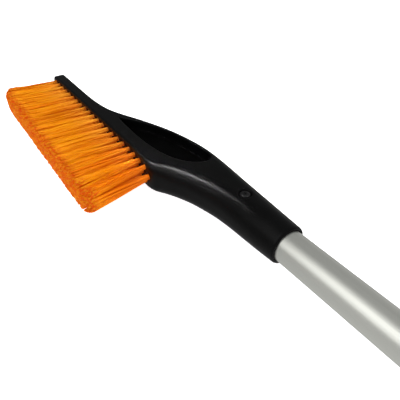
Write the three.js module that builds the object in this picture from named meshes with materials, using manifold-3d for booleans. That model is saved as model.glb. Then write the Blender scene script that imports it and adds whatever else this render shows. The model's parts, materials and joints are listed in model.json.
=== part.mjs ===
// Telescopic snow broom, lying on its side.
// Millimetres. +X runs from the handle's end to the brush head's tip, +Y is the way the bristles
// point, and +Z is up. The pieces are modelled with the tube's axis on the X axis and the mouth of
// the head's socket at X = 0, and the whole group is then moved so that its origin is the centre of
// the bounding box's floor.

import * as THREE from 'three';
import { mergeVertices } from 'three/addons/utils/BufferGeometryUtils.js';
import Module from 'manifold-3d';

const wasm = await Module();
wasm.setup();

// ---------------------------------------------------------------- driving dimensions

const GAP = 0.3;                // between touching pieces
const BORE_GAP = 0.4;           // round a tube, whose bore is faceted too

const FRONT_TUBE_R = 11;        // inner tube of the telescopic pair, 22 mm across
const FRONT_TUBE_WALL = 1.2;
const REAR_TUBE_R = 12.5;       // outer tube, 25 mm across
const REAR_TUBE_WALL = 0.9;
const SOCKET_DEPTH = 72;        // how far the front tube goes into the head
const FRONT_TUBE_END = -507;
const REAR_TUBE_START = -156;
const REAR_TUBE_END = -545;

const HEAD_LENGTH = 329;
const BLOCK_BACK = 20;
const BLOCK_FACE = 31.5;
const BLOCK_HALF_WIDTH = 11.5;
const RECESS_FLOOR = 3;         // half the thickness of the web between the two recesses

const TUFT_PITCH = 10.1;
const TUFTS_PER_SIDE_ROW = 21;
const TUFT_ROW_SPACING = 6;
const TUFT_START = 119;         // first tuft of the two side rows
const TUFT_HOLE_R = 2.6;
const TUFT_HOLE_DEPTH = 9;
const TUFT_R = 2.2;
const BRISTLE_LENGTH = 55;      // from the block's face to the trimmed tips
const NECK_FAN = 12;            // how far the tips at the neck's end stand past the first tuft
const FLARE_START = 3;          // above the block's face, and above its raised end at the neck

const SCREW_X = 42;
const COUNTERBORE_R = 4.6;
const SCREW_SEAT = 12.4;        // height of the counterbore's floor from the tube's axis

const CLAMP_FRONT = -130;
const CLAMP_REAR = -180;
const CLAMP_R = 16;
const CLAMP_SPLIT_END = -153;
const EAR_FRONT = -133;
const EAR_REAR = -151;
const EAR_HALF_WIDTH = 8;
const EAR_TOP = 26;
const BOLT_X = (EAR_FRONT + EAR_REAR) / 2;
const BOLT_Z = 20.5;
const BOLT_R = 2;
const LEVER_PIN_Y = -14;        // the cam lever turns about an axis along X through here
const LEVER_PIN_R = 2;
const CAM_R = 3.9;
const CAM_THROW = 0.5;

const GRIP_R = 16;              // foam grip, and what the handle rests on
const GRIP_FRONT = -345;
const GRIP_REAR = -525;
const GRIP_RING_LENGTH = 9;
const CAP_SKIRT_R = 15.6;
const CAP_END = -578;

const ROUND_STEPS = 24;         // facets round a tube

// ---------------------------------------------------------------- materials

function finish(color, roughness, metalness) {
  return () => new THREE.MeshStandardMaterial({ color, roughness, metalness });
}

const blackPlastic = finish(0x1b1b1c, 0.5, 0);
const greyPlastic = finish(0x2b2c2e, 0.55, 0);
const orangeBristle = finish(0xf07a12, 0.55, 0);
const aluminium = finish(0xc4c7ca, 0.35, 0.9);
const zincSteel = finish(0x8f9294, 0.4, 0.9);
const blackScrew = finish(0x2a2a2b, 0.4, 0.6);
const blackFoam = finish(0x151516, 0.9, 0);

// ---------------------------------------------------------------- solids and booleans

/** A closed geometry as a manifold solid. */
function toSolid(geometry) {
  const bare = geometry.clone();
  bare.deleteAttribute('normal');
  bare.deleteAttribute('uv');
  const merged = mergeVertices(bare, 1e-4);
  const corners = merged.index.array;
  const triangles = [];
  for (let i = 0; i < corners.length; i += 3) {
    const [a, b, c] = corners.slice(i, i + 3);
    if (a !== b && b !== c && c !== a) triangles.push(a, b, c);
  }
  return new wasm.Manifold(new wasm.Mesh({
    numProp: 3,
    vertProperties: new Float32Array(merged.attributes.position.array),
    triVerts: new Uint32Array(triangles),
  }));
}

/** A manifold solid as a flat-shaded geometry. */
function toGeometry(solid) {
  const mesh = solid.getMesh();
  const geometry = new THREE.BufferGeometry();
  geometry.setAttribute('position', new THREE.BufferAttribute(mesh.vertProperties, 3));
  geometry.setIndex(new THREE.BufferAttribute(mesh.triVerts, 1));
  geometry.computeVertexNormals();
  return geometry;
}

function join(...geometries) {
  return geometries.map(toSolid).reduce((sum, solid) => sum.add(solid));
}

/** The first geometry, or manifold solid, with the others cut out of it. */
function cut(body, ...tools) {
  const start = body instanceof wasm.Manifold ? body : toSolid(body);
  return toGeometry(tools.map(toSolid).reduce((rest, tool) => rest.subtract(tool), start));
}

// ---------------------------------------------------------------- shape helpers

/** A body turned about the X axis from a closed loop of [x, radius] points. */
function turned(profile, steps = ROUND_STEPS) {
  const loop = profile.map(([x, radius]) => new THREE.Vector2(radius, x));
  if (THREE.ShapeUtils.area(loop) < 0) loop.reverse();
  loop.push(loop[0].clone());
  return new THREE.LatheGeometry(loop, steps).rotateZ(-Math.PI / 2);
}

/** A plain ring about the X axis. */
function ring(start, end, inner, outer) {
  return turned([[start, inner], [start, outer], [end, outer], [end, inner]]);
}

/** A ring whose two outer edges are chamfered. */
function chamferedRing(start, end, inner, outer, chamfer) {
  const step = Math.sign(end - start) * chamfer;
  return turned([
    [start, inner], [start, outer - chamfer], [start + step, outer],
    [end - step, outer], [end, outer - chamfer], [end, inner],
  ]);
}

/** A rod between two values of one axis, through the given place. */
function rod(axis, start, end, radius, place, steps = 16) {
  const geometry = new THREE.CylinderGeometry(radius, radius, Math.abs(end - start), steps);
  if (axis === 'x') geometry.rotateZ(-Math.PI / 2);
  if (axis === 'z') geometry.rotateX(Math.PI / 2);
  const centre = new THREE.Vector3(...place);
  centre[axis] = (start + end) / 2;
  return geometry.translate(centre.x, centre.y, centre.z);
}

/** A block from its lowest to its highest corner. */
function block(low, high) {
  const size = high.map((value, i) => value - low[i]);
  const middle = high.map((value, i) => (value + low[i]) / 2);
  return new THREE.BoxGeometry(...size).translate(...middle);
}

/** A shape drawn in X and Y, made into a slab between two heights. */
function slab(shape, bottom, top, curveSegments = 12) {
  const geometry = new THREE.ExtrudeGeometry(shape, {
    depth: top - bottom, bevelEnabled: false, curveSegments,
  });
  return geometry.translate(0, 0, bottom);
}

/** A shape drawn in Y and Z, made into a bar along X. */
function bar(shape, start, end, curveSegments = 8) {
  const geometry = new THREE.ExtrudeGeometry(shape, {
    depth: end - start, bevelEnabled: false, curveSegments,
  });
  const turn = new THREE.Matrix4().makeBasis(
    new THREE.Vector3(0, 1, 0), new THREE.Vector3(0, 0, 1), new THREE.Vector3(1, 0, 0),
  );
  return geometry.applyMatrix4(turn).translate(start, 0, 0);
}

/** A rectangle with round corners, drawn about a centre. */
function roundedRectangle(centre, width, height, radius) {
  const right = centre[0] + width / 2;
  const left = centre[0] - width / 2;
  const top = centre[1] + height / 2;
  const bottom = centre[1] - height / 2;
  const shape = new THREE.Shape();
  shape.absarc(right - radius, top - radius, radius, 0, Math.PI / 2);
  shape.absarc(left + radius, top - radius, radius, Math.PI / 2, Math.PI);
  shape.absarc(left + radius, bottom + radius, radius, Math.PI, 1.5 * Math.PI);
  shape.absarc(right - radius, bottom + radius, radius, 1.5 * Math.PI, 2 * Math.PI);
  return shape;
}

/** A smooth function through a few [x, value] pairs. */
function through(pairs) {
  const curve = new THREE.CubicInterpolant(pairs.map(([x]) => x), pairs.map(([, value]) => value), 1);
  return (x) => curve.evaluate(x)[0];
}

/** A closed skin over rings of equal count, each anticlockwise as seen from the last one. */
function skin(rings) {
  const count = rings[0].length;
  const points = rings.flat();
  const triangles = [];
  for (let r = 0; r + 1 < rings.length; r += 1) {
    for (let i = 0; i < count; i += 1) {
      const a = r * count + i;
      const b = r * count + ((i + 1) % count);
      triangles.push(a, b, a + count, b, b + count, a + count);
    }
  }
  const last = (rings.length - 1) * count;
  for (let i = 1; i + 1 < count; i += 1) {
    triangles.push(0, i + 1, i);
    triangles.push(last, last + i, last + i + 1);
  }
  const geometry = new THREE.BufferGeometry().setFromPoints(points);
  geometry.setIndex(triangles);
  geometry.computeVertexNormals();
  return geometry;
}

// ---------------------------------------------------------------- brush head

const RIM_ROUND = 1.5;          // rounded lip of the socket's mouth
const TIP_ROUND = 6;            // rounded corners of the block's far end
const CORNER_STEPS = 4;

// Side profile of the head, as distances from the tube's axis along Y.
const backLine = through([
  [0, -13.3], [19, -14.2], [55, -15.8], [95, -17.9], [113, -17.5], [135, -14.3], [155, -9],
  [180, 0.6], [203, 11], [219, 16.4], [239, 19.3], [259, BLOCK_BACK], [HEAD_LENGTH, BLOCK_BACK],
]);
const frontLine = through([
  [0, 13.3], [19, 14.1], [42, 14.5], [55, 15.6], [67, 17.9], [79, 21], [91, 25.6], [101, 29.9],
  [108, 33.1], [114, 33.7], [122, 33.1], [134, 32.1], [148, BLOCK_FACE], [HEAD_LENGTH, BLOCK_FACE],
]);
const halfWidth = through([
  [0, 13.3], [19, 14.4], [45, 14.4], [79, 13.6], [111, 12.9], [135, 12.3], [175, 11.9],
  [235, BLOCK_HALF_WIDTH], [HEAD_LENGTH, BLOCK_HALF_WIDTH],
]);
const backRadius = through([
  [0, 13.1], [19, 14], [45, 12.5], [79, 9.5], [125, 7.5], [175, 5.5], [219, 3.2], [245, 2.5],
  [HEAD_LENGTH, 2.5],
]);
const frontRadius = through([
  [0, 13.1], [19, 14], [45, 12.5], [67, 11.5], [79, 11], [91, 10.5], [101, 9], [108, 7], [114, 5],
  [122, 2.8], [132, 2], [HEAD_LENGTH, 2],
]);

/** How far a round of the given radius has drawn in, at a distance before its end. */
function drawnIn(radius, distance) {
  if (distance >= radius) return 0;
  return radius - Math.sqrt(radius ** 2 - (radius - distance) ** 2);
}

/** One cross-section of the head: a rectangle in Y and Z with round corners. */
function headSection(x) {
  const rim = drawnIn(RIM_ROUND, x);
  const tip = drawnIn(TIP_ROUND, HEAD_LENGTH - x);
  const back = backLine(x) + rim + tip / 4;
  const front = frontLine(x) - rim;
  const half = halfWidth(x) - rim - tip;
  const corners = [
    [front, half, frontRadius(x) - rim, 0], [back, half, backRadius(x) - rim, 1],
    [back, -half, backRadius(x) - rim, 2], [front, -half, frontRadius(x) - rim, 3],
  ];
  return corners.flatMap(([y, z, radius, quarter]) => {
    const centreY = y - Math.sign(y - (front + back) / 2) * radius;
    const centreZ = z - Math.sign(z) * radius;
    return Array.from({ length: CORNER_STEPS + 1 }, (_, i) => {
      const angle = (quarter + i / CORNER_STEPS) * (Math.PI / 2);
      return new THREE.Vector3(
        x, centreY + radius * Math.cos(angle), centreZ + radius * Math.sin(angle),
      );
    });
  });
}

/** The places along X where the head's section is drawn. */
function headStations() {
  const stations = [0, 0.2, 0.8, RIM_ROUND, 4];
  for (let x = 10; x < 260; x += 10) stations.push(x);
  stations.push(115, 125, 259, HEAD_LENGTH - TIP_ROUND);
  for (let i = 1; i <= 4; i += 1) {
    stations.push(HEAD_LENGTH - TIP_ROUND * (1 - Math.sin((i / 4) * (Math.PI / 2))));
  }
  return stations.sort((a, b) => a - b);
}

/** The drop-shaped recess in each side of the neck. */
function recessShape() {
  const shape = new THREE.Shape();
  shape.moveTo(195, 17);
  shape.bezierCurveTo(155, 20, 107, 22, 94, 1);
  shape.bezierCurveTo(90, -6, 93, -13, 102, -11.4);
  shape.bezierCurveTo(130, -11.6, 165, -5, 195, 17);
  return shape;
}

/** Each tuft's place along X and Z, row by row. */
function tuftRows() {
  const side = (z) => Array.from(
    { length: TUFTS_PER_SIDE_ROW }, (_, i) => [TUFT_START + i * TUFT_PITCH, z],
  );
  const centre = Array.from(
    { length: TUFTS_PER_SIDE_ROW + 1 }, (_, i) => [TUFT_START + (i - 0.5) * TUFT_PITCH, 0],
  );
  return { upper: side(TUFT_ROW_SPACING), centre, lower: side(-TUFT_ROW_SPACING) };
}

function brushHead() {
  const holes = Object.values(tuftRows()).flat().map(([x, z]) => (
    rod('y', BLOCK_FACE - TUFT_HOLE_DEPTH, BLOCK_FACE + FLARE_START, TUFT_HOLE_R, [x, 0, z], 6)
  ));
  return cut(
    skin(headStations().map(headSection)),
    rod('x', -1, SOCKET_DEPTH, FRONT_TUBE_R + BORE_GAP, [0, 0, 0], ROUND_STEPS),
    slab(recessShape(), RECESS_FLOOR, 20),
    slab(recessShape(), -20, -RECESS_FLOOR),
    rod('z', SCREW_SEAT, 20, COUNTERBORE_R, [SCREW_X, 0, 0], 24),
    rod('z', 8, SCREW_SEAT + 1, 2.1, [SCREW_X, 0, 0]),
    ...holes,
  );
}

// ---------------------------------------------------------------- bristles

const TUFTS_MEET = 26;          // above the block's face
const CURTAIN_HALF_AT_TIP = 3.05;
const CURTAIN_HALF_AT_START = 2.8;

/** A ring of points about a centre in X and Z, at one value of Y. */
function levelRing(y, [x, z], halfX, halfZ, count) {
  return Array.from({ length: count }, (_, i) => {
    const angle = ((i + 0.5) / count) * 2 * Math.PI;
    return new THREE.Vector3(x + halfX * Math.sin(angle), y, z + halfZ * Math.cos(angle));
  });
}

/** One tuft: a round root in its hole, and a flare up into the row's curtain of bristles. */
function tuft([x, z], curtainZ) {
  const rootEnd = BLOCK_FACE - TUFT_HOLE_DEPTH + GAP;
  return skin([
    levelRing(rootEnd, [x, z], TUFT_R, TUFT_R, 6),
    levelRing(BLOCK_FACE + FLARE_START, [x, z], TUFT_R, TUFT_R, 6),
    levelRing(BLOCK_FACE + TUFTS_MEET + 1, [x, curtainZ], 4.9, 2.7, 6),
  ]);
}

/**
 * The tufts of one row, which merge into one curtain of bristles on their way to the tips. At the
 * neck's end the curtains of all three rows fan out to the same line.
 */
function bristleRow(places) {
  const rowZ = places[0][1];
  const tipZ = Math.sign(rowZ) * (2 * CURTAIN_HALF_AT_TIP + GAP);
  const startZ = (rowZ + tipZ) / 2;
  const near = places[0][0] - TUFT_PITCH / 2;
  const far = places.at(-1)[0] + TUFT_PITCH / 2;
  const nearAtTip = TUFT_START - NECK_FAN;
  const corner = Math.SQRT2;
  const curtain = skin([
    levelRing(BLOCK_FACE + TUFTS_MEET, [(near + far) / 2, startZ], ((far - near) / 2) * corner,
      CURTAIN_HALF_AT_START * corner, 4),
    levelRing(BLOCK_FACE + BRISTLE_LENGTH, [(nearAtTip + far) / 2, tipZ],
      ((far - nearAtTip) / 2) * corner, CURTAIN_HALF_AT_TIP * corner, 4),
  ]);
  return toGeometry(places.reduce((row, place) => row.add(toSolid(tuft(place, startZ))),
    toSolid(curtain)));
}

// ---------------------------------------------------------------- head screw and front tube

/** Pan-head screw with a cross recess, through the socket's wall into the tube. */
function headScrew() {
  const bottom = SCREW_SEAT + GAP;
  const profile = [[6, 0], [7, 1.3], [8, 1.7], [bottom, 1.7], [bottom, 3.5], [bottom + 0.9, 3.4],
    [bottom + 1.5, 2.2], [bottom + 1.6, 0]];
  const screw = turned(profile, 24).rotateY(-Math.PI / 2).translate(SCREW_X, 0, 0);
  const slot = (width, depth) => block(
    [SCREW_X - width / 2, -depth / 2, bottom + 0.6], [SCREW_X + width / 2, depth / 2, bottom + 3],
  );
  return cut(screw, slot(3.2, 0.8), slot(0.8, 3.2));
}

function frontTube() {
  const tube = ring(FRONT_TUBE_END, SOCKET_DEPTH - 2, FRONT_TUBE_R - FRONT_TUBE_WALL, FRONT_TUBE_R);
  return cut(tube, rod('z', 5, 15, 2.1, [SCREW_X, 0, 0]));
}

/** Plastic bush on the front tube's inner end, which slides in the rear tube. */
function guideBush() {
  const spigot = FRONT_TUBE_R - FRONT_TUBE_WALL - BORE_GAP;
  const flange = REAR_TUBE_R - REAR_TUBE_WALL - BORE_GAP;
  const shoulder = FRONT_TUBE_END - GAP;
  return turned([
    [shoulder + 18, 5], [shoulder + 18, spigot], [shoulder, spigot], [shoulder, flange],
    [shoulder - 8, flange], [shoulder - 8, 5],
  ]);
}

// ---------------------------------------------------------------- rear tube and clamp

const CLAMP_RIVET_X = -170;
const CAP_RIVET_X = -536;

function rearTube() {
  const tube = ring(REAR_TUBE_END, REAR_TUBE_START, REAR_TUBE_R - REAR_TUBE_WALL, REAR_TUBE_R);
  return cut(
    tube,
    rod('y', 5, 15, 1.9, [CLAMP_RIVET_X, 0, 0]),
    rod('y', 5, 15, 1.9, [CAP_RIVET_X, 0, 0]),
  );
}

/** Split collar: its rear half is fixed on the rear tube, and its front half grips the front one. */
function clampCollar() {
  const ears = bar(
    roundedRectangle([0, EAR_TOP - 12], 2 * EAR_HALF_WIDTH, 24, 3), EAR_REAR, EAR_FRONT,
  );
  const sleeve = turned([
    [CLAMP_FRONT, 0], [CLAMP_FRONT, CLAMP_R - 1.5], [CLAMP_FRONT - 1.5, CLAMP_R],
    [CLAMP_REAR + 10, CLAMP_R], [CLAMP_REAR + 1.5, CLAMP_R - 1], [CLAMP_REAR, CLAMP_R - 2.5],
    [CLAMP_REAR, 0],
  ]);
  return cut(
    join(sleeve, ears),
    rod('x', CLAMP_REAR - 1, CLAMP_FRONT + 1, FRONT_TUBE_R + BORE_GAP, [0, 0, 0], ROUND_STEPS),
    rod('x', CLAMP_REAR - 1, REAR_TUBE_START + GAP, REAR_TUBE_R + BORE_GAP, [0, 0, 0], ROUND_STEPS),
    block([CLAMP_SPLIT_END, -1, 5], [CLAMP_FRONT + 1, 1, EAR_TOP + 1]),
    rod('y', -20, 20, BOLT_R + GAP, [BOLT_X, 0, BOLT_Z]),
    rod('y', 5.4, 20, 4.4, [BOLT_X, 0, BOLT_Z], 6),
    rod('y', 5, 20, 1.9, [CLAMP_RIVET_X, 0, 0]),
  );
}

/** Eye bolt: its eye holds the lever's pin and its shank draws the two ears together. */
function clampBolt() {
  return cut(
    join(
      rod('y', LEVER_PIN_Y + 3, 11, BOLT_R, [BOLT_X, 0, BOLT_Z]),
      rod('x', BOLT_X - 2.2, BOLT_X + 2.2, 4, [0, LEVER_PIN_Y, BOLT_Z], 20),
    ),
    rod('x', BOLT_X - 3, BOLT_X + 3, LEVER_PIN_R + GAP, [0, LEVER_PIN_Y, BOLT_Z]),
  );
}

function clampNut() {
  return cut(
    rod('y', 5.7, 9.2, 4.05, [BOLT_X, 0, BOLT_Z], 6),
    rod('y', 5, 10, BOLT_R + GAP, [BOLT_X, 0, BOLT_Z]),
  );
}

/** Thrust plate between the ear and the cam. */
function camWasher() {
  const outer = -EAR_HALF_WIDTH - GAP;
  return cut(
    block([BOLT_X - 8, outer - 1, BOLT_Z - 4], [BOLT_X + 8, outer, BOLT_Z + 4]),
    rod('y', -20, 0, BOLT_R + GAP, [BOLT_X, 0, BOLT_Z]),
  );
}

function leverPin() {
  return rod('x', EAR_REAR + 0.5, EAR_FRONT - 0.5, LEVER_PIN_R, [0, LEVER_PIN_Y, BOLT_Z]);
}

/** Cam lever, closed: a forked cam on the pin, and an arm that follows the collar's side. */
function camLever() {
  const inner = CLAMP_R + 0.6;
  const outer = inner + 3;
  const tipAngle = (203 / 180) * Math.PI;
  const arm = new THREE.Shape();
  arm.moveTo(LEVER_PIN_Y - 3.6, BOLT_Z + 1);
  arm.bezierCurveTo(-20.4, 15, -outer - 0.3, 8, -outer, 0);
  arm.absarc(0, 0, outer, Math.PI, tipAngle);
  arm.lineTo(inner * Math.cos(tipAngle), inner * Math.sin(tipAngle));
  arm.absarc(0, 0, inner, tipAngle, (145 / 180) * Math.PI, true);
  arm.lineTo(LEVER_PIN_Y + 2.5, BOLT_Z - 2);
  const fork = block(
    [BOLT_X - 2.6, LEVER_PIN_Y - 9, BOLT_Z - 4.6], [BOLT_X + 2.6, LEVER_PIN_Y + 9, BOLT_Z + 9],
  );
  return cut(
    join(
      bar(arm, EAR_REAR + 1, EAR_FRONT - 1),
      rod('x', EAR_REAR + 1, EAR_FRONT - 1, CAM_R, [0, LEVER_PIN_Y + CAM_THROW, BOLT_Z], 24),
    ),
    rod('x', EAR_REAR, EAR_FRONT, LEVER_PIN_R + GAP, [0, LEVER_PIN_Y, BOLT_Z]),
    fork,
  );
}

/** A dome-headed rivet on the +Y side, through a skirt of the given radius into the rear tube. */
function rivet(x, skirtRadius) {
  const seat = skirtRadius + 0.2;
  const profile = [[11.5, 0], [11.5, 1.5], [seat, 1.5], [seat, 3], [seat + 0.6, 2.7],
    [seat + 1.1, 1.5], [seat + 1.2, 0]];
  return turned(profile, 16).rotateZ(Math.PI / 2).translate(x, 0, 0);
}

// ---------------------------------------------------------------- grip and end cap

function foamGrip() {
  const bore = REAR_TUBE_R + BORE_GAP;
  const [start, end] = [GRIP_FRONT - GAP, GRIP_REAR + GAP];
  return turned([
    [start, bore], [start, GRIP_R - 2.5], [start - 0.8, GRIP_R - 0.8], [start - 2.5, GRIP_R],
    [end + 2.5, GRIP_R], [end + 0.8, GRIP_R - 0.8], [end, GRIP_R - 2.5], [end, bore],
  ]);
}

function gripRing() {
  return chamferedRing(
    GRIP_FRONT + GRIP_RING_LENGTH, GRIP_FRONT, REAR_TUBE_R + BORE_GAP, CAP_SKIRT_R, 1.2,
  );
}

const EYE_X = -566;
const TAB_HALF_WIDTH = 11;
const TAB_HALF_THICKNESS = 5.5;

/** End cap with a skirt round the rear tube and a tab with a hanging eye. */
function endCap() {
  const skirt = turned([
    [GRIP_REAR, 0], [GRIP_REAR, CAP_SKIRT_R - 1.2], [GRIP_REAR - 1.2, CAP_SKIRT_R],
    [REAR_TUBE_END - 3, CAP_SKIRT_R], [REAR_TUBE_END - 6, CAP_SKIRT_R - 1.2],
    [REAR_TUBE_END - 9, 10.8], [REAR_TUBE_END - 10.5, 6], [REAR_TUBE_END - 11, 0],
  ]);
  const tabFront = REAR_TUBE_END - 3;
  const tab = slab(
    roundedRectangle([(CAP_END + tabFront) / 2, 0], tabFront - CAP_END, 2 * TAB_HALF_WIDTH, 6),
    -TAB_HALF_THICKNESS, TAB_HALF_THICKNESS,
  );
  return cut(
    join(skirt, tab),
    rod('x', REAR_TUBE_END - GAP, GRIP_REAR + 1, REAR_TUBE_R + BORE_GAP, [0, 0, 0], ROUND_STEPS),
    slab(roundedRectangle([EYE_X, 0], 9, 13, 4), -20, 20, 6),
    rod('y', 5, 20, 1.9, [CAP_RIVET_X, 0, 0]),
  );
}

// ---------------------------------------------------------------- assembly

const broom = new THREE.Group();

function add(name, geometry, material) {
  const mesh = new THREE.Mesh(geometry, material());
  mesh.name = name;
  broom.add(mesh);
}

const rows = tuftRows();

add('brush_head', brushHead(), blackPlastic);
add('bristle_row_upper', bristleRow(rows.upper), orangeBristle);
add('bristle_row_centre', bristleRow(rows.centre), orangeBristle);
add('bristle_row_lower', bristleRow(rows.lower), orangeBristle);
add('head_screw', headScrew(), blackScrew);
add('front_tube', frontTube(), aluminium);
add('guide_bush', guideBush(), greyPlastic);

add('rear_tube', rearTube(), aluminium);
add('clamp_collar', clampCollar(), blackPlastic);
add('clamp_rivet', rivet(CLAMP_RIVET_X, CLAMP_R), aluminium);
add('clamp_bolt', clampBolt(), zincSteel);
add('clamp_nut', clampNut(), zincSteel);
add('cam_washer', camWasher(), greyPlastic);
add('lever_pin', leverPin(), zincSteel);
add('cam_lever', camLever(), blackPlastic);

add('grip_ring', gripRing(), blackPlastic);
add('foam_grip', foamGrip(), blackFoam);
add('end_cap', endCap(), blackPlastic);
add('end_cap_rivet', rivet(CAP_RIVET_X, CAP_SKIRT_R), aluminium);

const box = new THREE.Box3().setFromObject(broom);
const middle = box.getCenter(new THREE.Vector3());
broom.position.set(-middle.x, -middle.y, -box.min.z);

export default broom;
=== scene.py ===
"""Snow broom: the looks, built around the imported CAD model, in metres and in its frame.

The broom lies on its side. +X runs from the handle's end to the brush head's tip, +Y is the way the
bristles point, and +Z is up. Shapes of the head and the bristles are given in millimetres from the
point where the tube's axis crosses the mouth of the head's socket.
"""

import json
import math

import bmesh
import bpy
import numpy as np
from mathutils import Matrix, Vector


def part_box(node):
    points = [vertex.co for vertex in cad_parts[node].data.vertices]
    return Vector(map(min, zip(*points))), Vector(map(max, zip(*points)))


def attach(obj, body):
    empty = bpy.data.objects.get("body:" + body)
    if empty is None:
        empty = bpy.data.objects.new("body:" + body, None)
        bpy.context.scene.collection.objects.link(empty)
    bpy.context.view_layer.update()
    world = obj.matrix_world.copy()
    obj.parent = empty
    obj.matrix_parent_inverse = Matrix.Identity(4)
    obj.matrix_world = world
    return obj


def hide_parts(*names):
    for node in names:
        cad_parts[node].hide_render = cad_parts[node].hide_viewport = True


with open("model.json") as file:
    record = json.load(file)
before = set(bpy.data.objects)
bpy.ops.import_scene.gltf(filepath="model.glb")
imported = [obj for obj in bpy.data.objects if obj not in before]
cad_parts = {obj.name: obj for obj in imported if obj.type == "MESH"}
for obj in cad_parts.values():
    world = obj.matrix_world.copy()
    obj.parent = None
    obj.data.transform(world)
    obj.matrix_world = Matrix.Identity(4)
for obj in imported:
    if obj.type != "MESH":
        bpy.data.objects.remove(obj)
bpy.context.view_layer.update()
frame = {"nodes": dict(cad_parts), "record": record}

MM = 0.001

HEAD_LOW, HEAD_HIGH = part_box("brush_head")
TUBE_LOW, TUBE_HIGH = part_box("front_tube")
MOUTH = Vector((
    HEAD_LOW.x, (TUBE_LOW.y + TUBE_HIGH.y) / 2, (TUBE_LOW.z + TUBE_HIGH.z) / 2,
))


# ---------------------------------------------------------------- camera, light and floor

CAMERA_PLACE = (-112.5, 142.7, 170.3)
CAMERA_PITCH_DOWN = 37.8
CAMERA_HEADING = -34.7                     # from +X, so it looks a little towards -Y
LENS = 36
SENSOR_WIDTH = 36

FLOOR_HALF_SIZE = 8.0
FLOOR_DROP = 0.0002
BACKDROP_START = 3.0
BACKDROP_CURVE = 1.2
BACKDROP_HEIGHT = 4.0
BACKDROP_SIDES = 96
BACKDROP_CURVE_STEPS = 12


def add_camera():
    """The photograph's view: from behind the socket's mouth, above and on the bristles' side."""
    data = bpy.data.cameras.new("camera")
    data.sensor_width = SENSOR_WIDTH
    data.lens = LENS
    data.clip_start = 0.01
    camera = bpy.data.objects.new("camera", data)
    camera.location = MOUTH + Vector(CAMERA_PLACE) * MM
    camera.rotation_euler = (
        math.radians(90 - CAMERA_PITCH_DOWN), 0, math.radians(CAMERA_HEADING - 90),
    )
    bpy.context.scene.collection.objects.link(camera)
    bpy.context.scene.camera = camera


def add_softbox(name, direction, distance, size, power, target, spread=180, glossy=True):
    """A rectangular softbox in the given direction from a point, turned to face it.

    A spread under 180 degrees is a grid on the softbox, which narrows its beam.
    """
    data = bpy.data.lights.new(name, "AREA")
    data.shape = "RECTANGLE"
    data.size, data.size_y = size
    data.energy = power
    data.spread = math.radians(spread)
    lamp = bpy.data.objects.new(name, data)
    offset = Vector(direction).normalized() * distance
    lamp.location = target + offset
    lamp.rotation_euler = offset.to_track_quat("Z", "Y").to_euler()
    lamp.visible_glossy = glossy
    lamp.visible_camera = False
    bpy.context.scene.collection.objects.link(lamp)


def spread_node(nodes, given, wanted):
    """A node that spreads one range of values over another."""
    node = nodes.new("ShaderNodeMapRange")
    node.inputs["From Min"].default_value, node.inputs["From Max"].default_value = given
    node.inputs["To Min"].default_value, node.inputs["To Max"].default_value = wanted
    return node


def add_world():
    """Grey walls, lighter below the horizon as over a white table, and darker past the tip."""
    world = bpy.data.worlds.new("studio")
    world.use_nodes = True
    nodes, links = world.node_tree.nodes, world.node_tree.links
    direction = nodes.new("ShaderNodeTexCoord").outputs["Generated"]
    split = nodes.new("ShaderNodeSeparateXYZ")
    links.new(direction, split.inputs["Vector"])
    height = spread_node(nodes, (-0.3, 0.3), (0.50, 0.34))
    links.new(split.outputs["Z"], height.inputs["Value"])
    far_wall = spread_node(nodes, (0.35, 0.75), (1.0, 0.45))
    links.new(split.outputs["X"], far_wall.inputs["Value"])
    dimmed = nodes.new("ShaderNodeMath")
    dimmed.operation = "MULTIPLY"
    links.new(height.outputs["Result"], dimmed.inputs[0])
    links.new(far_wall.outputs["Result"], dimmed.inputs[1])
    background = nodes["Background"]
    background.inputs["Color"].default_value = (1.0, 1.0, 1.0, 1)
    links.new(dimmed.outputs["Value"], background.inputs["Strength"])
    bpy.context.scene.world = world


def add_floor():
    """A white table, lit so brightly that it shows no shadow, and kept out of the gloss."""
    size = FLOOR_HALF_SIZE
    corners = [(-size, -size, 0), (size, -size, 0), (size, size, 0), (-size, size, 0)]
    floor = new_object("floor", corners, [(0, 1, 2, 3)])
    floor.location.z = -FLOOR_DROP
    floor.visible_glossy = False
    floor.data.materials.append(floor_material())


def add_backdrop():
    """A round white wall that the floor curves up into. Only the camera sees it."""
    start, curve = BACKDROP_START, BACKDROP_CURVE
    profile = [(start, 0.0)]
    for step in range(1, BACKDROP_CURVE_STEPS + 1):
        angle = step / BACKDROP_CURVE_STEPS * math.pi / 2
        profile.append((start + curve * math.sin(angle), curve * (1 - math.cos(angle))))
    profile.append((start + curve, BACKDROP_HEIGHT))
    points, faces = [], []
    for i in range(BACKDROP_SIDES):
        angle = 2 * math.pi * i / BACKDROP_SIDES
        points += [(r * math.cos(angle), r * math.sin(angle), z) for r, z in profile]
        near, far = i * len(profile), (i + 1) % BACKDROP_SIDES * len(profile)
        faces += [(near + k, far + k, far + k + 1, near + k + 1) for k in range(len(profile) - 1)]
    wall = new_object("backdrop", points, faces)
    wall.visible_diffuse = False
    wall.visible_glossy = False
    wall.visible_shadow = False
    wall.data.materials.append(floor_material())


def add_studio():
    """A broad softbox on the tube, a narrow one on the neck's ridge, and two that only fill."""
    bpy.context.scene.view_settings.view_transform = "Standard"
    add_world()
    add_floor()
    add_backdrop()
    on_tube = Vector(head_point(-60, 0, 0))
    on_ridge = Vector(head_point(106, 27, 13))
    on_neck = Vector(head_point(120, 0, 0))
    add_softbox("broad", (0.20, 0.66, 0.72), 1.4, (0.8, 1.3), 4.1, on_tube)
    add_softbox("ridge", (0.50, 0.27, 0.82), 0.6, (0.07, 0.06), 0.022, on_ridge, spread=8)
    add_softbox("overhead", (0.0, 0.15, 1.0), 1.8, (3.0, 3.0), 50.0, on_neck, glossy=False)
    add_softbox("end_fill", (-0.75, 0.45, 0.5), 1.4, (1.2, 1.2), 9.5, on_neck, glossy=False)


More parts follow.
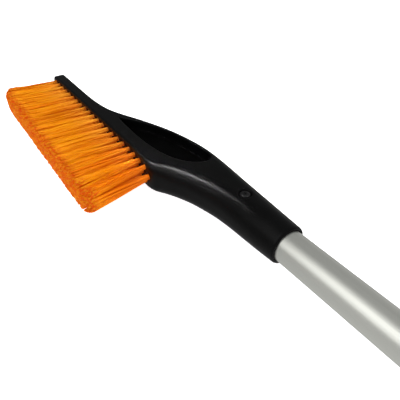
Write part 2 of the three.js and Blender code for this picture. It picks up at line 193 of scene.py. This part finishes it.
# ---------------------------------------------------------------- materials

NOISE_RANGE = (0.3, 0.7)                   # where nearly all values of a noise lie


class Finish:
    """A Principled material with short names for the nodes that its pattern uses."""

    def __init__(self, name, **values):
        self.material = bpy.data.materials.new(name)
        self.material.use_nodes = True
        self.nodes = self.material.node_tree.nodes
        self.links = self.material.node_tree.links
        self.shader = self.nodes["Principled BSDF"]
        for socket, value in values.items():
            self.shader.inputs[socket.replace("_", " ")].default_value = value
        self.place = self.nodes.new("ShaderNodeTexCoord").outputs["Object"]

    def scaled(self, scale):
        """The object's coordinates, stretched by a factor along each axis."""
        mapping = self.nodes.new("ShaderNodeMapping")
        mapping.inputs["Scale"].default_value = scale
        self.links.new(self.place, mapping.inputs["Vector"])
        return mapping.outputs["Vector"]

    def noise(self, scale, detail=2.0, vector=None):
        node = self.nodes.new("ShaderNodeTexNoise")
        node.inputs["Scale"].default_value = scale
        node.inputs["Detail"].default_value = detail
        self.links.new(vector or self.place, node.inputs["Vector"])
        return node.outputs["Fac"]

    def ramp(self, value, stops):
        """A colour for each value, between stops of (position, colour)."""
        node = self.nodes.new("ShaderNodeValToRGB")
        points = node.color_ramp.elements
        while len(points) < len(stops):
            points.new(0.5)
        for point, (position, colour) in zip(points, stops):
            point.position = position
            point.color = (*colour, 1)
        self.links.new(value, node.inputs["Fac"])
        return node.outputs["Color"]

    def spread(self, value, low, high, into):
        """A noise value, spread between two values into one of the shader's sockets."""
        node = spread_node(self.nodes, NOISE_RANGE, (low, high))
        self.links.new(value, node.inputs["Value"])
        self.links.new(node.outputs["Result"], self.shader.inputs[into])

    def attribute(self, name):
        node = self.nodes.new("ShaderNodeAttribute")
        node.attribute_name = name
        return node.outputs["Fac"]

    def mixed(self, first, second, factor=None, blend="MIX"):
        """Two colours mixed by a factor, or wholly when none is given."""
        node = self.nodes.new("ShaderNodeMix")
        node.data_type = "RGBA"
        node.blend_type = blend
        node.inputs["Factor"].default_value = 1.0
        if factor:
            self.links.new(factor, node.inputs["Factor"])
        self.links.new(first, node.inputs["A"])
        self.links.new(second, node.inputs["B"])
        return node.outputs["Result"]

    def colour(self, output):
        self.links.new(output, self.shader.inputs["Base Color"])

    def bump(self, height, depth, strength=1.0):
        """Bumps of the given depth in metres, over any bumps made before."""
        node = self.nodes.new("ShaderNodeBump")
        node.inputs["Distance"].default_value = depth
        node.inputs["Strength"].default_value = strength
        self.links.new(height, node.inputs["Height"])
        before = self.shader.inputs["Normal"].links
        if before:
            self.links.new(before[0].from_socket, node.inputs["Normal"])
        self.links.new(node.outputs["Normal"], self.shader.inputs["Normal"])


def grey(value):
    return (value, value, value * 1.03)


def floor_material():
    finish = Finish("pale_floor", Roughness=0.9, Specular_IOR_Level=0.1, Emission_Strength=0.9)
    finish.colour(finish.ramp(finish.noise(3), [(0.3, (0.90, 0.90, 0.90)), (0.7, (0.91, 0.91, 0.91))]))
    return finish.material


def black_plastic(name="black_plastic", gloss=0.12):
    """Satin moulded polypropylene with a fine spark-eroded grain."""
    finish = Finish(name, Specular_IOR_Level=gloss)
    finish.colour(finish.ramp(finish.noise(90, 3), [(0.3, grey(0.0006)), (0.7, grey(0.0012))]))
    finish.spread(finish.noise(220, 3), 0.33, 0.41, "Roughness")
    finish.bump(finish.noise(2600, 2), 0.00004, 0.35)
    return finish.material


def grey_plastic():
    """Moulded acetal."""
    finish = Finish("grey_plastic", Specular_IOR_Level=0.45)
    finish.colour(finish.ramp(finish.noise(120, 3), [(0.3, grey(0.055)), (0.7, grey(0.075))]))
    finish.spread(finish.noise(300, 2), 0.36, 0.46, "Roughness")
    finish.bump(finish.noise(2600, 2), 0.00003, 0.3)
    return finish.material


def anodised_aluminium():
    """Extruded tube: faint die lines along it, under a satin clear anodised skin."""
    finish = Finish("anodised_aluminium", Metallic=1.0)
    lines = finish.noise(1.0, 4, finish.scaled((9, 1500, 1500)))
    finish.colour(finish.ramp(
        finish.noise(1.0, 3, finish.scaled((14, 420, 420))),
        [(0.3, (0.84, 0.85, 0.785)), (0.7, (0.90, 0.91, 0.845))],
    ))
    finish.spread(lines, 0.36, 0.44, "Roughness")
    finish.bump(lines, 0.00001, 0.25)
    return finish.material


def zinc_steel():
    """Bright zinc plate with a faint mottle."""
    finish = Finish("zinc_steel", Metallic=1.0)
    finish.colour(finish.ramp(finish.noise(500, 3), [(0.3, (0.50, 0.51, 0.53)), (0.7, (0.62, 0.62, 0.61))]))
    finish.spread(finish.noise(900, 3), 0.25, 0.42, "Roughness")
    finish.bump(finish.noise(1800, 2), 0.00002, 0.3)
    return finish.material


def black_screw():
    """Black plated steel, worn a little lighter in patches."""
    finish = Finish("black_screw", Metallic=0.3, Specular_IOR_Level=0.3)
    finish.colour(finish.ramp(finish.noise(900, 3), [(0.35, grey(0.005)), (0.8, grey(0.016))]))
    finish.spread(finish.noise(1500, 2), 0.35, 0.5, "Roughness")
    finish.bump(finish.noise(3000, 2), 0.00002, 0.3)
    return finish.material


def black_foam():
    """Closed-cell foam with open pores in its skin."""
    finish = Finish("black_foam", Specular_IOR_Level=0.25)
    pores = finish.nodes.new("ShaderNodeTexVoronoi")
    pores.inputs["Scale"].default_value = 1100
    finish.links.new(finish.place, pores.inputs["Vector"])
    finish.colour(finish.ramp(pores.outputs["Distance"], [(0.05, grey(0.008)), (0.5, grey(0.022))]))
    finish.spread(finish.noise(400, 3), 0.75, 0.92, "Roughness")
    finish.bump(pores.outputs["Distance"], 0.00025, 0.7)
    finish.bump(finish.noise(160, 3), 0.0004, 0.4)
    return finish.material


def bristle():
    """Orange filaments, each a little lighter or darker, with painted shade: redder, darker roots next to
    the neck and a darker, redder band of tips under a random mottle; a faint painted glow lifts their
    shadows.
    """
    finish = Finish(
        "bristle", Roughness=0.45, Specular_IOR_Level=0.08,
        # Painted glow: a faint red-orange emission lifts the filaments' shadows, standing in for light
        # passing through them.
        Emission_Color=(1.0, 0.08, 0.0, 1), Emission_Strength=0.10,
    )
    along = finish.attribute("along")
    by_length = finish.ramp(along, [
        (0.0, (0.80, 0.50, 0.17)), (0.05, (0.80, 0.38, 0.030)), (0.5, (0.79, 0.37, 0.005)),
    ])
    # Painted shade: the band of tips is darkened and reddened, with a random mottle over it.
    tips_mottled_and_shaded = finish.ramp(finish.noise(520, 1), [(0.44, (0.54, 0.06, 0.001)), (0.66, (0.66, 0.34, 0.010))])
    near_tip = finish.ramp(along, [(0.88, (0, 0, 0)), (0.98, (0.85, 0.85, 0.85))])
    tipped = finish.mixed(by_length, tips_mottled_and_shaded, near_tip)
    by_filament = finish.ramp(finish.attribute("shade"), [(0.0, (0.90, 0.50, 0.4)), (1.0, (1.0, 1.0, 1.0))])
    finish.colour(finish.mixed(tipped, by_filament, blend="MULTIPLY"))
    return finish.material


MATERIALS = {}


def material(slot):
    """The slot's material, made on first use."""
    makers = {
        "black_plastic": black_plastic, "grey_plastic": grey_plastic, "bristle": bristle,
        "aluminium": anodised_aluminium, "zinc_steel": zinc_steel, "black_screw": black_screw,
        "foam": black_foam,
    }
    if slot not in MATERIALS:
        MATERIALS[slot] = makers[slot]()
    return MATERIALS[slot]


NODE_SLOT = {part["node"]: part["material_slot"] for part in frame["record"]["subparts"]}
NODE_BODY = {
    node: body for body, nodes in frame["record"]["behaviour"]["bodies"].items() for node in nodes
}


# ---------------------------------------------------------------- mesh helpers

def head_point(x, y, z):
    """Where a place in millimetres from the socket's mouth stands in the scene, in metres."""
    return (MOUTH.x + x * MM, MOUTH.y + y * MM, MOUTH.z + z * MM)


def new_object(name, points, faces):
    mesh = bpy.data.meshes.new(name)
    mesh.from_pydata(points, [], faces)
    mesh.update()
    mesh.shade_smooth()
    piece = bpy.data.objects.new(name, mesh)
    bpy.context.scene.collection.objects.link(piece)
    return piece


def place_piece(piece, node):
    """Gives a finished piece its node's material and body, and lets it stand for the node."""
    slot = NODE_SLOT[node]
    piece.data.materials.clear()
    piece.data.materials.append(material(slot))
    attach(piece, NODE_BODY[node])
    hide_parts(node)
    return piece


def apply_modifiers(piece):
    """Makes what the modifiers show into the piece's own mesh."""
    evaluated = piece.evaluated_get(bpy.context.evaluated_depsgraph_get())
    mesh = bpy.data.meshes.new_from_object(evaluated)
    piece.modifiers.clear()
    piece.data = mesh


def skin(rings):
    """Points and faces of a closed skin over rings of equal count, in order along their stack."""
    count = len(rings[0])
    points = [point for ring in rings for point in ring]
    faces = []
    for r in range(len(rings) - 1):
        for i in range(count):
            a, b = r * count + i, r * count + (i + 1) % count
            faces.append((a, b, b + count, a + count))
    faces.append(tuple(range(count))[::-1])
    last = (len(rings) - 1) * count
    faces.append(tuple(range(last, last + count)))
    return points, faces


def through(pairs):
    """A smooth function through a few (x, value) pairs."""
    xs, values = (np.array(column, float) for column in zip(*pairs))
    ahead = np.minimum(np.arange(len(xs)) + 1, len(xs) - 1)
    behind = np.maximum(np.arange(len(xs)) - 1, 0)
    slopes = (values[ahead] - values[behind]) / (xs[ahead] - xs[behind])

    def value(x):
        i = int(np.clip(np.searchsorted(xs, x) - 1, 0, len(xs) - 2))
        step = xs[i + 1] - xs[i]
        t = (x - xs[i]) / step
        return float(
            (2 * t**3 - 3 * t**2 + 1) * values[i] + (t**3 - 2 * t**2 + t) * step * slopes[i]
            + (3 * t**2 - 2 * t**3) * values[i + 1] + (t**3 - t**2) * step * slopes[i + 1]
        )

    return value


# ---------------------------------------------------------------- brush head

HEAD_LENGTH = (HEAD_HIGH.x - HEAD_LOW.x) / MM
BLOCK_BACK = 20
BLOCK_FACE = 31.5
BLOCK_HALF_WIDTH = 11.5
RIM_ROUND = 1.5                            # rounded lip of the socket's mouth
TIP_ROUND = 6                              # rounded corners of the block's far end
SOCKET_R = 11.4
SOCKET_DEPTH = 72
SOCKET_START = -1                          # clear of the mouth

RECESS_FLOOR = 3                           # height above the head's middle plane
RECESS_LIP = 10.4                          # height at which the walls flare into the lip
RECESS_MARGIN = 0.2                        # along the outline, left out of the duller finish

SCREW_LOW, SCREW_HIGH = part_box("head_screw")
SCREW_X = ((SCREW_LOW.x + SCREW_HIGH.x) / 2 - MOUTH.x) / MM
SCREW_SEAT = 12.4
COUNTERBORE_R = 4.6
COUNTERBORE_TOP = 20                       # clear of the socket's outside

TUFT_PITCH = 10.1
TUFT_START = 119                           # first tuft of the two side rows
TUFTS_PER_SIDE_ROW = 21
TUFT_ROW_SPACING = 6
TUFT_HOLE_R = 2.6
TUFT_HOLE_FLOOR = BLOCK_FACE - 2.5
TUFT_HOLE_TOP = BLOCK_FACE + 4.5           # clear of the face where the neck's end raises it

SECTION_SPACING = 1.5                      # between cross-sections along the head
TIP_SECTIONS = 10                          # over the rounded corners of the far end
VOXEL = 0.6                                # of the remesh that rounds the edges
SMOOTH_STEPS = 6

back_line = through([
    (0, -13.3), (19, -14.2), (55, -15.8), (95, -17.9), (113, -17.5), (135, -14.3), (155, -9),
    (180, 0.6), (203, 11), (219, 16.4), (239, 19.3), (259, BLOCK_BACK), (HEAD_LENGTH, BLOCK_BACK),
])
front_line = through([
    (0, 13.3), (19, 14.1), (42, 14.5), (55, 15.6), (67, 17.9), (79, 21), (91, 25.6), (101, 29.9),
    (108, 33.1), (114, 33.7), (122, 33.1), (134, 32.1), (148, BLOCK_FACE), (HEAD_LENGTH, BLOCK_FACE),
])
half_width = through([
    (0, 13.3), (19, 14.4), (45, 14.4), (79, 13.6), (111, 12.9), (135, 12.3), (175, 11.9),
    (235, BLOCK_HALF_WIDTH), (HEAD_LENGTH, BLOCK_HALF_WIDTH),
])
back_radius = through([
    (0, 13.1), (19, 14), (45, 12.5), (79, 9.5), (125, 7.5), (175, 5.5), (219, 3.2), (245, 2.5),
    (HEAD_LENGTH, 2.5),
])
front_radius = through([
    (0, 13.1), (19, 14), (45, 12.5), (67, 11.5), (79, 11), (91, 10.5), (101, 9), (108, 7), (114, 5),
    (122, 2.8), (132, 2), (HEAD_LENGTH, 2),
])


def drawn_in(radius, distance):
    """How far a round of the given radius has drawn in, at a distance before its end."""
    if distance >= radius:
        return 0
    return radius - math.sqrt(radius**2 - (radius - distance) ** 2)


def head_section(x, corner_steps=12):
    """One cross-section: a rectangle in Y and Z whose corners are round."""
    rim = drawn_in(RIM_ROUND, x)
    tip = drawn_in(TIP_ROUND, HEAD_LENGTH - x)
    back = back_line(x) + rim + tip / 4
    front = front_line(x) - rim
    half = half_width(x) - rim - tip
    corners = [
        (front, half, front_radius(x) - rim, 0), (back, half, back_radius(x) - rim, 1),
        (back, -half, back_radius(x) - rim, 2), (front, -half, front_radius(x) - rim, 3),
    ]
    ring = []
    for y, z, radius, quarter in corners:
        centre_y = y - math.copysign(radius, y - (front + back) / 2)
        centre_z = z - math.copysign(radius, z)
        for i in range(corner_steps + 1):
            angle = (quarter + i / corner_steps) * math.pi / 2
            ring.append(head_point(
                x, centre_y + radius * math.cos(angle), centre_z + radius * math.sin(angle),
            ))
    return ring


def bezier(start, first, second, end, steps):
    """Points along a cubic curve, without its last one."""
    points = []
    for i in range(steps):
        t = i / steps
        weights = ((1 - t) ** 3, 3 * t * (1 - t) ** 2, 3 * t**2 * (1 - t), t**3)
        points.append(tuple(
            sum(w * p[k] for w, p in zip(weights, (start, first, second, end))) for k in (0, 1)
        ))
    return points


def recess_outline():
    """The drop shape: its long edges, and the round end near the socket."""
    return (
        bezier((195, 17), (155, 20), (107, 22), (94, 1), 40)
        + bezier((94, 1), (90, -6), (93, -13), (102, -11.4), 16)
        + bezier((102, -11.4), (130, -11.6), (165, -5), (195, 17), 40)
    )


def grown(outline, distance):
    """An outline that runs anticlockwise or clockwise, moved outwards by a distance."""
    points = np.array(outline)
    ahead, behind = np.roll(points, -1, 0), np.roll(points, 1, 0)
    tangent = ahead - behind
    normal = np.stack([tangent[:, 1], -tangent[:, 0]], 1)
    normal /= np.linalg.norm(normal, axis=1, keepdims=True)
    area = np.sum(points[:, 0] * ahead[:, 1] - ahead[:, 0] * points[:, 1])
    return points + normal * distance * np.sign(area)


def recess_cutter(side):
    """The recess on one side: drafted walls, a rounded foot and a flared lip."""
    outline = recess_outline()
    levels = [
        (RECESS_FLOOR, -0.9), (RECESS_FLOOR + 0.3, -0.3), (RECESS_FLOOR + 0.9, 0),
        (10.6, 0.1), (11.3, 0.4), (12.0, 0.9), (12.6, 1.6), (13.4, 2.8), (16, 7),
    ]
    rings = []
    for height, growth in levels:
        rings.append([head_point(x, y, side * height) for x, y in grown(outline, growth)])
    return skin(rings)


def rod_points(axis, start, end, radius, centre, steps):
    """A rod between two values along an axis, as skin points and faces, in head millimetres."""
    others = [k for k in range(3) if k != axis]
    rings = []
    for along in (start, end):
        ring = []
        for i in range(steps):
            angle = 2 * math.pi * i / steps
            place = list(centre)
            place[axis] = along
            place[others[0]] += radius * math.cos(angle)
            place[others[1]] += radius * math.sin(angle)
            ring.append(head_point(*place))
        rings.append(ring)
    return skin(rings)


def joined(name, solids):
    """One object from several closed solids, with every face turned outwards."""
    points, faces = [], []
    for more_points, more_faces in solids:
        faces += [tuple(i + len(points) for i in face) for face in more_faces]
        points += more_points
    piece = new_object(name, points, faces)
    bm = bmesh.new()
    bm.from_mesh(piece.data)
    bmesh.ops.recalc_face_normals(bm, faces=bm.faces)
    bm.to_mesh(piece.data)
    bm.free()
    return piece


def tuft_rows():
    """Each row's CAD node, and each tuft's place along X and Z, in head millimetres."""
    side = [TUFT_START + i * TUFT_PITCH for i in range(TUFTS_PER_SIDE_ROW)]
    centre = [TUFT_START + (i - 0.5) * TUFT_PITCH for i in range(TUFTS_PER_SIDE_ROW + 1)]
    return {
        "bristle_row_upper": [(x, TUFT_ROW_SPACING) for x in side],
        "bristle_row_centre": [(x, 0) for x in centre],
        "bristle_row_lower": [(x, -TUFT_ROW_SPACING) for x in side],
    }


NOT_ZERO = 1e-9                            # keeps a level edge from dividing by zero


def finish_recesses(mesh):
    """Gives the faces inside the recesses a duller finish than the rest of the moulding."""
    centres = np.empty(3 * len(mesh.polygons), np.float32)
    mesh.polygons.foreach_get("center", centres)
    x, y, z = ((centres.reshape(-1, 3) - np.array(MOUTH)) / MM).T
    outline = grown(recess_outline(), -RECESS_MARGIN)
    crossings = np.zeros(len(x), int)
    for (x1, y1), (x2, y2) in zip(outline, np.roll(outline, -1, 0)):
        spans = (y1 > y) != (y2 > y)
        crossings += spans & (x < x1 + (y - y1) * (x2 - x1) / (y2 - y1 + NOT_ZERO))
    inside = (crossings % 2 == 1) & (np.abs(z) < RECESS_LIP)
    mesh.materials.append(black_plastic("black_plastic_dull", gloss=0.01))
    mesh.polygons.foreach_set("material_index", inside.astype(np.int32))


def head_stations():
    """Where the cross-sections stand along the head: close together where its ends are round."""
    stations = [0, 0.1, 0.3, 0.6, 1.0, RIM_ROUND]
    stations += list(np.arange(RIM_ROUND + 1, HEAD_LENGTH - TIP_ROUND, SECTION_SPACING))
    for i in range(TIP_SECTIONS + 1):
        from_corner = math.sin(i / TIP_SECTIONS * math.pi / 2)
        stations.append(HEAD_LENGTH - TIP_ROUND * (1 - from_corner))
    return stations


def head_cutters():
    """What is cut out of the moulding: recesses, socket, counterbore and the tufts' holes."""
    cutters = [
        recess_cutter(1), recess_cutter(-1),
        rod_points(0, SOCKET_START, SOCKET_DEPTH, SOCKET_R, (0, 0, 0), steps=64),
        rod_points(2, SCREW_SEAT, COUNTERBORE_TOP, COUNTERBORE_R, (SCREW_X, 0, 0), steps=32),
    ]
    for places in tuft_rows().values():
        for x, z in places:
            hole = rod_points(1, TUFT_HOLE_FLOOR, TUFT_HOLE_TOP, TUFT_HOLE_R, (x, 0, z), steps=16)
            cutters.append(hole)
    return cutters


def brush_head():
    """The one-piece moulding, remeshed evenly so that every edge gets a small moulded round."""
    shell = joined("head_moulding", [skin([head_section(x) for x in head_stations()])])
    tool = joined("head_cutters", head_cutters())
    cut = shell.modifiers.new("cut", "BOOLEAN")
    cut.operation = "DIFFERENCE"
    cut.solver = "MANIFOLD"
    cut.object = tool
    remesh = shell.modifiers.new("remesh", "REMESH")
    remesh.mode = "VOXEL"
    remesh.voxel_size = VOXEL * MM
    smooth = shell.modifiers.new("smooth", "SMOOTH")
    smooth.factor = 0.5
    smooth.iterations = SMOOTH_STEPS
    apply_modifiers(shell)
    bpy.data.objects.remove(tool)
    shell.data.shade_smooth()
    place_piece(shell, "brush_head")
    finish_recesses(shell.data)


# ---------------------------------------------------------------- bristles

SEED = 7
FILAMENTS = 240                            # in each tuft
FILAMENT_R = 0.2
FILAMENT_STEPS = 6
FILAMENT_SIDES = 3
BRISTLE_LENGTH = 55                        # from the block's face to the trimmed tips
ROOT_R = 1.7
ROOT_DEPTH = 2.0                           # how far the filaments start below the block's face

# Pairs are along the row and across it.
CLUMPS = 11                                # strands that a tuft parts into
CLUMP_SPREAD = (5.4, 3.3)                  # how far the strands' tips fan out
CLUMP_STRAY = (1.1, 0.7)
CLUMP_BEND = (0.9, 0.6)
FILAMENT_SPREAD = (5.0, 3.2)               # how far the tips fan out within a strand
FILAMENT_STRAY = (0.55, 0.45)
FILAMENT_BEND = 0.35
FAN_POWER = 1.2                            # above 1, the tufts fan out late
SIDE_ROW_LEAN = 0.4                        # how far the tips of the outer rows lean outwards

NECK_SPLAY = 9                             # how far the tips next to the neck lean towards it
NECK_SPLAY_CENTRE = 0.25 * NECK_SPLAY
NECK_SPREAD = 0.6                          # how much wider the tuft next to the neck fans out
NECK_DECAY = 2.2 * TUFT_PITCH              # distance over which both die away
NECK_CROWDING = 2                          # tips closer to the curtain's end than this crowd together

NECK_FAN = 12                              # how far the tips at the neck's end pass the first tuft
CURTAIN_GAP = 0.7                          # keeps the far tips inside the CAD's box
CURTAIN_START = TUFT_START - NECK_FAN
CURTAIN_END = TUFT_START + TUFTS_PER_SIDE_ROW * TUFT_PITCH - CURTAIN_GAP
CURTAIN_HALF_WIDTH = 9.2

# Rounds of the curtain: each has a reach and a depth.
TRIM_AT_TIP = (22, 10)                     # along the row, and along the filaments
TRIM_AT_NECK = (7, 6)
CORNERS_AT_TIP = (6, 6)                    # across the row and along it, seen from the tips
CORNERS_AT_NECK = (2.5, 2.5)
WORN_ABOVE = 3                             # height from which the upper edge is worn shorter
WORN = 0.04                                # of the square of the height above WORN_ABOVE
UNEVEN = (0.2, 0.12)                       # mean for a filament, and its growth above WORN_ABOVE
UNEVEN_CLUMPS = (0.25, 0.2)                # largest for a clump, and its growth above WORN_ABOVE

# Shade runs from 0, redder and darker, to 1.
SHADE_OF_ROOTS = 0.12                      # added at every root
PAINTED_SHADE_AT_NECK = -0.80                      # added at the roots next to the neck: painted shade, making them redder and darker
NECK_PAINTED_SHADE_DECAY = 35                           # distance over which that dies away
ROOT_CLUMP_SHARE = 0.6                     # of the variation that goes by clump, not by filament
TIP_CLUMP_SHARE = 0.5


def disc(count, random):
    """Random points spread evenly over a unit disc."""
    radius = np.sqrt(random.random(count))
    angle = 2 * math.pi * random.random(count)
    return np.stack([radius * np.cos(angle), radius * np.sin(angle)], 1)


def rounded_end(from_end, reach, depth):
    """How much shorter the filaments are, at each distance from the curtain's end."""
    drop = 1 - np.clip(from_end / reach, 0, 1)
    return depth * (1 - np.sqrt(1 - drop**2))


def crowded(distance):
    """A distance from the curtain's end, which small and negative ones only come close to."""
    close = NECK_CROWDING * np.exp((distance - NECK_CROWDING) / NECK_CROWDING)
    return np.where(distance > NECK_CROWDING, distance, close)


def tuft_tips(x, z, root, clump, centres, clump_tip, random):
    """How far each tip stands from its hole along X and Z, and how much is trimmed off there."""
    tip = clump_tip[clump] + (root - centres[clump]) * FILAMENT_SPREAD
    tip += random.normal(0, FILAMENT_STRAY, (FILAMENTS, 2))
    near_neck = math.exp((TUFT_START - x) / NECK_DECAY)
    tip[:, 0] *= 1 + NECK_SPREAD * near_neck
    tip[:, 0] -= (NECK_SPLAY if z else NECK_SPLAY_CENTRE) * near_neck
    tip[:, 1] += SIDE_ROW_LEAN * np.sign(z)
    tip[:, 1] = np.clip(tip[:, 1], -CURTAIN_HALF_WIDTH - z, CURTAIN_HALF_WIDTH - z)
    from_side = CURTAIN_HALF_WIDTH - abs(z + tip[:, 1])
    nearest = CURTAIN_START + rounded_end(from_side, *CORNERS_AT_NECK)
    farthest = CURTAIN_END - rounded_end(from_side, *CORNERS_AT_TIP)
    tip[:, 0] = np.minimum(crowded(x + tip[:, 0] - nearest) + nearest, farthest) - x
    trim = rounded_end(x + tip[:, 0] - nearest, *TRIM_AT_NECK)
    trim += rounded_end(farthest - x - tip[:, 0], *TRIM_AT_TIP)
    return tip, trim


def unevenness(above, clump, random):
    """How much shorter single filaments and whole clumps are, by their height in the curtain."""
    single = random.exponential(UNEVEN[0] + UNEVEN[1] * above)
    return single + (UNEVEN_CLUMPS[0] + UNEVEN_CLUMPS[1] * above) * random.random(CLUMPS)[clump]


def filament_skins(lines, turn):
    """Points and faces of one thin prism along each line, turned about it by an angle."""
    count, stations, _ = lines.shape
    sides = FILAMENT_SIDES
    corners = turn[:, None] + np.arange(sides) * 2 * math.pi / sides
    across = FILAMENT_R * np.stack([np.cos(corners), np.zeros_like(corners), np.sin(corners)], 2)
    points = (lines[:, :, None, :] + across[:, None, :, :]).reshape(-1, 3) * MM + np.array(MOUTH)
    faces = []
    for f in range(count):
        base = f * sides * stations
        for k in range(stations - 1):
            for c in range(sides):
                a, b = base + sides * k + c, base + sides * k + (c + 1) % sides
                faces.append((a, a + sides, b + sides, b))
        end = base + sides * (stations - 1)
        faces.append(tuple(range(end, end + sides))[::-1])
        faces.append(tuple(range(base, base + sides)))
    return points.tolist(), faces


def varied(clump, clump_share, random):
    """A number from 0 to 1 for each filament, partly shared within its clump."""
    by_clump = random.random(CLUMPS)[clump]
    return clump_share * by_clump + (1 - clump_share) * random.random(FILAMENTS)


def shade_filaments(mesh, x, steps, clump, random):
    """Stores each point's shade, and how far along its filament it is."""
    root_shade = varied(clump, ROOT_CLUMP_SHARE, random) + SHADE_OF_ROOTS
    # Painted shade: the roots next to the neck are made redder and darker.
    root_shade += PAINTED_SHADE_AT_NECK * math.exp((TUFT_START - x) / NECK_PAINTED_SHADE_DECAY)
    tip_shade = varied(clump, TIP_CLUMP_SHARE, random)
    along = np.tile(np.repeat(steps, FILAMENT_SIDES), FILAMENTS)
    near_tip = along**2
    per_filament = FILAMENT_SIDES * len(steps)
    shade = np.repeat(root_shade, per_filament) * (1 - near_tip)
    shade += np.repeat(tip_shade, per_filament) * near_tip
    for attribute, values in (("shade", shade), ("along", along)):
        layer = mesh.attributes.new(attribute, "FLOAT", "POINT")
        layer.data.foreach_set("value", values.astype(np.float32))


def tuft(name, x, z, random):
    """One tuft of filaments, which leave their hole as a round bundle and fan out to the tips.

    The filaments cling together in clumps, so that the tuft parts into strands.
    """
    root = disc(FILAMENTS, random)
    centres = disc(CLUMPS, random)
    clump = np.argmin(np.linalg.norm(root[:, None] - centres, axis=2), axis=1)
    clump_tip = centres * CLUMP_SPREAD + random.normal(0, CLUMP_STRAY, (CLUMPS, 2))
    clump_bend = random.normal(0, CLUMP_BEND, (CLUMPS, 2))
    tip, trim = tuft_tips(x, z, root, clump, centres, clump_tip, random)
    bend = clump_bend[clump] + random.normal(0, FILAMENT_BEND, (FILAMENTS, 2))
    above = np.clip(z + tip[:, 1] - WORN_ABOVE, 0, None)
    length = BRISTLE_LENGTH - unevenness(above, clump, random) - trim - WORN * above**2

    steps = np.linspace(0, 1, FILAMENT_STEPS + 1)
    lines = np.empty((FILAMENTS, len(steps), 3))
    for k, t in enumerate(steps):
        sideways = root * ROOT_R * (1 - t) + tip * t**FAN_POWER + bend * math.sin(math.pi * t)
        lines[:, k, 0] = x + sideways[:, 0]
        lines[:, k, 1] = BLOCK_FACE - ROOT_DEPTH + (length + ROOT_DEPTH) * t
        lines[:, k, 2] = z + sideways[:, 1]
    piece = new_object(name, *filament_skins(lines, random.random(FILAMENTS) * 2 * math.pi))
    shade_filaments(piece.data, x, steps, clump, random)
    return piece


def bristles():
    """All the tufts, each as its own piece."""
    random = np.random.default_rng(SEED)
    for node, places in tuft_rows().items():
        row = node.rsplit("_", 1)[1]
        for number, (x, z) in enumerate(places, 1):
            place_piece(tuft(f"tuft_{row}_{number:02d}", x, z, random), node)


# ---------------------------------------------------------------- tubes, grip and fittings

FRONT_TUBE_WALL = 1.2
REAR_TUBE_WALL = 0.9
TUBE_EDGE = 0.25

GRIP_BORE_R = 12.9
GRIP_END_ROUND = 3.0
GRIP_STEPS = 48
GRIP_WAVES = 6
GRIP_WAVE_DEPTH = 0.12

SHARP_TURN = 35                            # degrees between faces that keep a sharp edge
SHARP_FITTING = 40
BEVEL_FROM = 35
BEVEL_STEPS = 3
FITTING_EDGES = {                          # the round on each fitting's edges
    "head_screw": 0.15, "guide_bush": 0.3, "clamp_collar": 0.4, "clamp_rivet": 0.15,
    "clamp_bolt": 0.2, "clamp_nut": 0.2, "cam_washer": 0.15, "lever_pin": 0.2, "cam_lever": 0.4,
    "grip_ring": 0.3, "end_cap": 0.5, "end_cap_rivet": 0.15,
}


def turned(name, node, profile, steps=128):
    """A ring turned about the tubes' axis from a closed loop of (x, radius), in metres."""
    points, faces = [], []
    for i in range(steps):
        angle = 2 * math.pi * i / steps
        for x, radius in profile:
            points.append((x, MOUTH.y + radius * math.cos(angle), MOUTH.z + radius * math.sin(angle)))
    count = len(profile)
    for i in range(steps):
        for k in range(count):
            a, b = i * count + k, i * count + (k + 1) % count
            c, d = (i + 1) % steps * count + k, (i + 1) % steps * count + (k + 1) % count
            faces.append((a, b, d, c))
    piece = joined(name, [(points, faces)])
    piece.data.shade_smooth()
    piece.data.set_sharp_from_angle(angle=math.radians(SHARP_TURN))
    return place_piece(piece, node)


def node_radius(node):
    """The outer radius of a node that is round about the tubes' axis, in metres."""
    low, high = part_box(node)
    return (high.y - low.y) / 2


def tube(name, node, wall):
    """A tube with lightly broken edges at both ends, and a wall in millimetres."""
    low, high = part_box(node)
    outer, edge = node_radius(node), TUBE_EDGE * MM
    inner = outer - wall * MM
    turned(name, node, [
        (low.x, inner), (low.x, outer - edge), (low.x + edge, outer), (high.x - edge, outer),
        (high.x, outer - edge), (high.x, inner),
    ])


def foam_grip():
    """A soft sleeve with rounded ends and a faint waviness along it."""
    low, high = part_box("foam_grip")
    outer = node_radius("foam_grip")
    inner = GRIP_BORE_R * MM
    profile = [(low.x, inner)]
    for i in range(GRIP_STEPS + 1):
        share = i / GRIP_STEPS
        end = min(share, 1 - share) * (high.x - low.x)
        drop = drawn_in(GRIP_END_ROUND, end / MM) * MM
        wave = GRIP_WAVE_DEPTH * MM * (1 + math.cos(2 * math.pi * share * GRIP_WAVES))
        profile.append((low.x + share * (high.x - low.x), outer - drop - wave))
    profile.append((high.x, inner))
    piece = turned("foam_sleeve", "foam_grip", profile)


def fitting(node, bevel):
    """The node's own CAD shape with its edges broken by a small round."""
    mesh = frame["nodes"][node].data.copy()
    piece = bpy.data.objects.new(node + "_fine", mesh)
    bpy.context.scene.collection.objects.link(piece)
    bm = bmesh.new()
    bm.from_mesh(mesh)
    bmesh.ops.remove_doubles(bm, verts=bm.verts, dist=0.005 * MM)
    bmesh.ops.dissolve_limit(bm, angle_limit=math.radians(1), verts=bm.verts, edges=bm.edges)
    bm.to_mesh(mesh)
    bm.free()
    rounded = piece.modifiers.new("bevel", "BEVEL")
    rounded.width = bevel * MM
    rounded.segments = BEVEL_STEPS
    rounded.limit_method = "ANGLE"
    rounded.angle_limit = math.radians(BEVEL_FROM)
    apply_modifiers(piece)
    piece.data.shade_smooth()
    piece.data.set_sharp_from_angle(angle=math.radians(SHARP_FITTING))
    place_piece(piece, node)


add_camera()
add_studio()
brush_head()
bristles()
tube("front_tube_fine", "front_tube", FRONT_TUBE_WALL)
tube("rear_tube_fine", "rear_tube", REAR_TUBE_WALL)
foam_grip()
for fitting_node, edge_round in FITTING_EDGES.items():
    fitting(fitting_node, edge_round)
